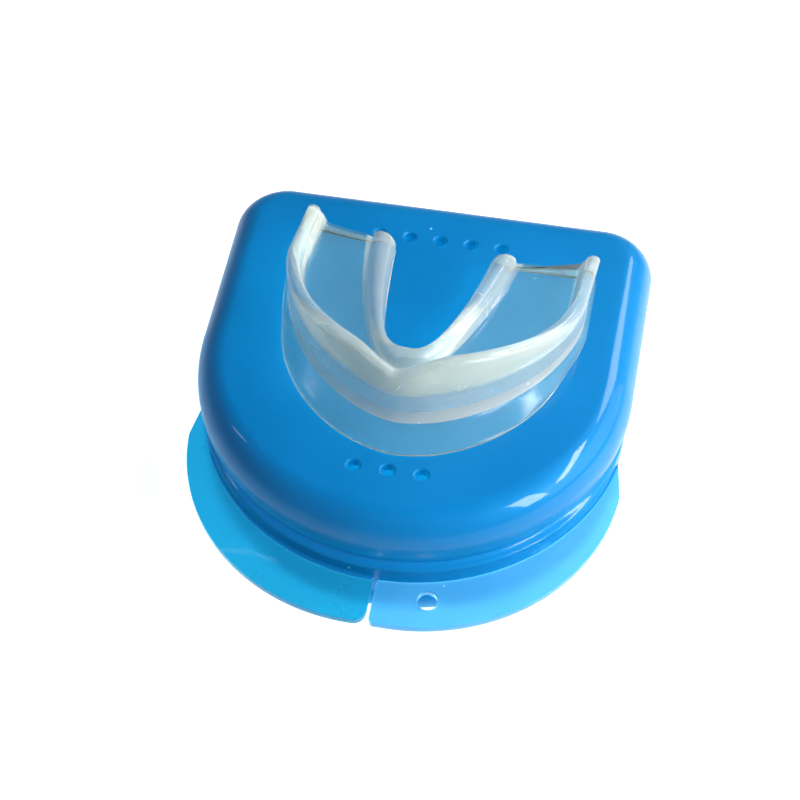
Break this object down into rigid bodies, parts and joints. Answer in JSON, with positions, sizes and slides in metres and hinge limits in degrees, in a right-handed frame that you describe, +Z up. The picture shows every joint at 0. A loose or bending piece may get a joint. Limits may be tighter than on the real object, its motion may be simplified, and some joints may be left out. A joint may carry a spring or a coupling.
{
  "type": "mouthguard with case",
  "caption": "Clear boil-and-bite mouthguard lying on a blue D-shaped snap case with air holes, split opening tabs and a rear hinge.",
  "frame": {"origin": "middle of the footprint, on the surface the case stands on", "axes": "+Z up, the round front of the case and its tabs towards -Y, the hinge towards +Y, +X to the right"},
  "size_m": [0.082, 0.0918, 0.0445],
  "materials": {
    "case_plastic": "glossy translucent blue polypropylene",
    "pin_plastic": "satin blue plastic",
    "guard_plastic": "clear, slightly milky soft plastic"
  },
  "bodies": {
    "base": {"case_base": "case_plastic", "hinge_pin_left": "pin_plastic", "hinge_pin_right": "pin_plastic"},
    "lid": {"case_lid": "case_plastic"},
    "mouthguard": {"mouthguard": "guard_plastic"}
  },
  "joints": [
    {"name": "lid_hinge", "type": "hinge", "parent": "base", "child": "lid", "pos_m": [0, 0.04345, 0.0119], "axis": [-1, 0, 0], "range_deg": [0, 105]},
    {"name": "guard_lift", "type": "slide", "parent": "lid", "child": "mouthguard", "axis": [0, 0, 1], "range_m": [0, 0.03]}
  ]
}
